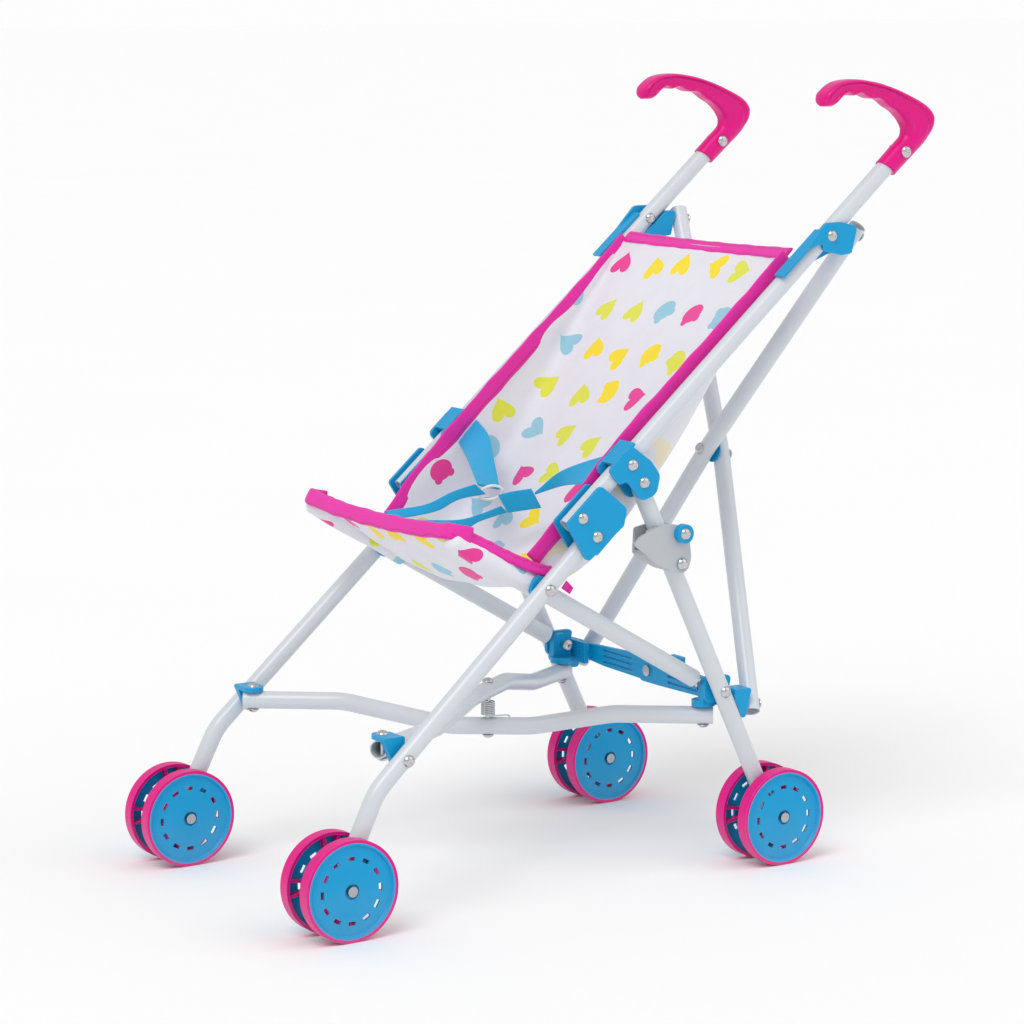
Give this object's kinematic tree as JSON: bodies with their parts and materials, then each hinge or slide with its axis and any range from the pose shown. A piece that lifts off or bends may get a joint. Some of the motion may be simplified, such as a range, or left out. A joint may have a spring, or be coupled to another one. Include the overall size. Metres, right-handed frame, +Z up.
{
  "type": "doll stroller",
  "caption": "Folding umbrella doll stroller with hooked push grips, a printed cloth sling seat, crossed braces and twin wheels at each corner.",
  "frame": {"origin": "on the floor, under the centre of the stroller's box when it stands open", "axes": "+Z up, the front looks along -Y, +X to the stroller's left, X is the axis of every leg hinge and axle"},
  "size_m": [0.2728, 0.5334, 0.5604],
  "materials": {
    "tube": "smooth light grey powder coat",
    "grip": "moulded pink plastic with a fine grain",
    "bracket": "moulded blue plastic",
    "catch": "moulded grey plastic",
    "rivet": "bright nickel-plated steel",
    "axle": "plain steel",
    "spring": "spring wire",
    "wheel": "moulded pink plastic",
    "wheel_disc": "moulded blue plastic",
    "sling": "printed woven polyester",
    "strap": "blue webbing",
    "buckle": "blue hook-and-loop tape"
  },
  "bodies": {
    "handle_left": {"handle_tube_left": "tube", "grip_left": "grip", "handle_bracket_left": "bracket", "rear_leg_pin_left": "rivet", "sling": "sling", "harness_straps": "strap", "buckle": "buckle"},
    "handle_right": {"handle_tube_right": "tube", "grip_right": "grip", "handle_bracket_right": "bracket", "rear_leg_pin_right": "rivet"},
    "front_leg_left": {"front_leg_left": "tube", "seat_bracket_left": "bracket", "leg_rivets_left": "rivet"},
    "rear_leg_left": {"rear_leg_left": "tube", "rear_link_pin_left": "rivet", "storage_catch": "catch", "catch_cap": "bracket"},
    "seat_tube_left": {"seat_tube_left": "tube"},
    "top_bracket_left": {"top_bracket_left": "bracket", "top_rivets_left": "rivet"},
    "front_bracket_left": {"front_bracket_left": "bracket"},
    "rear_cup_left": {"rear_cup_left": "bracket"},
    "rear_block_left": {"rear_block_left": "bracket"},
    "lock_arm_left": {"lock_arm_left": "bracket", "lock_screw": "rivet"},
    "front_leg_right": {"front_leg_right": "tube", "seat_bracket_right": "bracket", "leg_rivets_right": "rivet"},
    "rear_leg_right": {"rear_leg_right": "tube", "rear_link_pin_right": "rivet"},
    "seat_tube_right": {"seat_tube_right": "tube"},
    "top_bracket_right": {"top_bracket_right": "bracket", "top_rivets_right": "rivet"},
    "front_bracket_right": {"front_bracket_right": "bracket"},
    "rear_cup_right": {"rear_cup_right": "bracket"},
    "rear_block_right": {"rear_block_right": "bracket"},
    "lock_arm_right": {"lock_arm_right": "bracket"},
    "back_brace_front": {"back_brace_front": "tube", "back_brace_front_rivets": "rivet", "brace_spacer": "bracket"},
    "back_brace_rear": {"back_brace_rear": "tube", "back_brace_rear_rivets": "rivet"},
    "scissor_upper": {"scissor_tube_upper": "tube", "scissor_tube_upper_rivets": "rivet", "scissor_spring": "spring"},
    "scissor_lower": {"scissor_tube_lower": "tube", "scissor_tube_lower_rivets": "rivet"},
    "wheels_front_left": {"wheels_front_left": "wheel", "wheel_discs_front_left": "wheel_disc", "axle_front_left": "axle"},
    "wheels_front_right": {"wheels_front_right": "wheel", "wheel_discs_front_right": "wheel_disc", "axle_front_right": "axle"},
    "wheels_rear_left": {"wheels_rear_left": "wheel", "wheel_discs_rear_left": "wheel_disc", "axle_rear_left": "axle"},
    "wheels_rear_right": {"wheels_rear_right": "wheel", "wheel_discs_rear_right": "wheel_disc", "axle_rear_right": "axle"}
  },
  "joints": [
    {"name": "frame_fold", "type": "hinge", "parent": "handle_left", "child": "front_leg_left", "pos_m": [0.112, -0.03944, 0.2658], "axis": [-1, 0, 0], "range_deg": [0, 80], "deforming": ["sling", "harness_straps", "buckle"]},
    {"name": "side_close", "type": "slide", "parent": "handle_left", "child": "handle_right", "axis": [1, 0, 0], "range_m": [0, 0.1325]},
    {"name": "front_leg_right_fold", "type": "hinge", "parent": "handle_right", "child": "front_leg_right", "pos_m": [-0.112, -0.03944, 0.2658], "axis": [-1, 0, 0], "range_deg": [0, 80.5]},
    {"name": "rear_leg_left_fold", "type": "hinge", "parent": "handle_left", "child": "rear_leg_left", "pos_m": [0.112, 0.01166, 0.2864], "axis": [-1, 0, 0], "range_deg": [0, 39.9]},
    {"name": "seat_tube_left_fold", "type": "hinge", "parent": "front_leg_left", "child": "seat_tube_left", "pos_m": [0.0965, -0.06484, 0.218], "axis": [1, 0, 0], "range_deg": [0, 40.7]},
    {"name": "top_bracket_left_swivel", "type": "hinge", "parent": "handle_left", "child": "top_bracket_left", "pos_m": [0.112, 0.17256, 0.4502], "axis": [-1, 0, 0], "range_deg": [0, 16.45]},
    {"name": "front_bracket_left_swivel", "type": "hinge", "parent": "front_leg_left", "child": "front_bracket_left", "pos_m": [0.112, -0.17984, 0.114], "axis": [1, 0, 0], "range_deg": [0, 22.1]},
    {"name": "rear_cup_left_swivel", "type": "hinge", "parent": "rear_leg_left", "child": "rear_cup_left", "pos_m": [0.112, 0.08406, 0.13], "axis": [-1, 0, 0], "range_deg": [0, 19.2]},
    {"name": "rear_block_left_swivel", "type": "hinge", "parent": "rear_leg_left", "child": "rear_block_left", "pos_m": [0.112, 0.08406, 0.13], "axis": [1, 0, 0], "range_deg": [0, 23.4]},
    {"name": "lock_arm_left_fold", "type": "hinge", "parent": "rear_block_left", "child": "lock_arm_left", "pos_m": [0.086, 0.09776, 0.124], "axis": [0, 1, 0], "range_deg": [0, 76.8]},
    {"name": "rear_leg_right_fold", "type": "hinge", "parent": "handle_right", "child": "rear_leg_right", "pos_m": [-0.112, 0.01166, 0.2864], "axis": [-1, 0, 0], "range_deg": [0, 39.9]},
    {"name": "seat_tube_right_fold", "type": "hinge", "parent": "front_leg_right", "child": "seat_tube_right", "pos_m": [-0.0965, -0.06484, 0.218], "axis": [1, 0, 0], "range_deg": [0, 40.7]},
    {"name": "top_bracket_right_swivel", "type": "hinge", "parent": "handle_right", "child": "top_bracket_right", "pos_m": [-0.112, 0.17256, 0.4502], "axis": [-1, 0, 0], "range_deg": [0, 16.45]},
    {"name": "front_bracket_right_swivel", "type": "hinge", "parent": "front_leg_right", "child": "front_bracket_right", "pos_m": [-0.112, -0.17984, 0.114], "axis": [1, 0, 0], "range_deg": [0, 22.1]},
    {"name": "rear_cup_right_swivel", "type": "hinge", "parent": "rear_leg_right", "child": "rear_cup_right", "pos_m": [-0.112, 0.08406, 0.13], "axis": [-1, 0, 0], "range_deg": [0, 19.2]},
    {"name": "rear_block_right_swivel", "type": "hinge", "parent": "rear_leg_right", "child": "rear_block_right", "pos_m": [-0.112, 0.08406, 0.13], "axis": [1, 0, 0], "range_deg": [0, 23.4]},
    {"name": "lock_arm_right_fold", "type": "hinge", "parent": "rear_block_right", "child": "lock_arm_right", "pos_m": [-0.086, 0.09776, 0.124], "axis": [0, -1, 0], "range_deg": [0, 76.8]},
    {"name": "back_brace_front_turn", "type": "hinge", "parent": "top_bracket_left", "child": "back_brace_front", "pos_m": [0.1075, 0.20096, 0.45], "axis": [0, -0.967, 0.255], "range_deg": [0, 20.48]},
    {"name": "back_brace_rear_turn", "type": "hinge", "parent": "top_bracket_right", "child": "back_brace_rear", "pos_m": [-0.1075, 0.20096, 0.45], "axis": [0, 0.967, -0.255], "range_deg": [0, 20.48]},
    {"name": "scissor_upper_turn", "type": "hinge", "parent": "front_bracket_left", "child": "scissor_upper", "pos_m": [0.093, -0.18334, 0.118], "axis": [0, 0, -1], "range_deg": [0, 25.72]},
    {"name": "scissor_lower_turn", "type": "hinge", "parent": "front_bracket_right", "child": "scissor_lower", "pos_m": [-0.093, -0.18334, 0.118], "axis": [0, 0, 1], "range_deg": [0, 25.72]},
    {"name": "wheel_front_left_spin", "type": "hinge", "parent": "front_leg_left", "child": "wheels_front_left", "pos_m": [0.1178, -0.23174, 0.035], "axis": [1, 0, 0], "continuous": true},
    {"name": "wheel_front_right_spin", "type": "hinge", "parent": "front_leg_right", "child": "wheels_front_right", "pos_m": [-0.1178, -0.23174, 0.035], "axis": [1, 0, 0], "continuous": true},
    {"name": "wheel_rear_left_spin", "type": "hinge", "parent": "rear_leg_left", "child": "wheels_rear_left", "pos_m": [0.112, 0.12806, 0.035], "axis": [1, 0, 0], "continuous": true},
    {"name": "wheel_rear_right_spin", "type": "hinge", "parent": "rear_leg_right", "child": "wheels_rear_right", "pos_m": [-0.112, 0.12806, 0.035], "axis": [1, 0, 0], "continuous": true}
  ],
  "couplings": [
    {"joint": "side_close", "follows": "frame_fold", "m_per_rad": 0.094538},
    {"joint": "front_leg_right_fold", "follows": "frame_fold", "ratio": 1},
    {"joint": "rear_leg_left_fold", "follows": "frame_fold", "ratio": 0.495},
    {"joint": "seat_tube_left_fold", "follows": "frame_fold", "ratio": 0.505},
    {"joint": "top_bracket_left_swivel", "follows": "frame_fold", "ratio": 0.20187},
    {"joint": "front_bracket_left_swivel", "follows": "frame_fold", "ratio": 0.2725},
    {"joint": "rear_cup_left_swivel", "follows": "frame_fold", "ratio": 0.23625},
    {"joint": "rear_block_left_swivel", "follows": "frame_fold", "ratio": 0.28875},
    {"joint": "lock_arm_left_fold", "follows": "frame_fold", "ratio": 0.95625},
    {"joint": "rear_leg_right_fold", "follows": "frame_fold", "ratio": 0.495},
    {"joint": "seat_tube_right_fold", "follows": "frame_fold", "ratio": 0.505},
    {"joint": "top_bracket_right_swivel", "follows": "frame_fold", "ratio": 0.20187},
    {"joint": "front_bracket_right_swivel", "follows": "frame_fold", "ratio": 0.2725},
    {"joint": "rear_cup_right_swivel", "follows": "frame_fold", "ratio": 0.23625},
    {"joint": "rear_block_right_swivel", "follows": "frame_fold", "ratio": 0.28875},
    {"joint": "lock_arm_right_fold", "follows": "frame_fold", "ratio": 0.95625},
    {"joint": "back_brace_front_turn", "follows": "frame_fold", "ratio": 0.25224},
    {"joint": "back_brace_rear_turn", "follows": "frame_fold", "ratio": 0.25224},
    {"joint": "scissor_upper_turn", "follows": "frame_fold", "ratio": 0.31781},
    {"joint": "scissor_lower_turn", "follows": "frame_fold", "ratio": 0.31781}
  ]
}
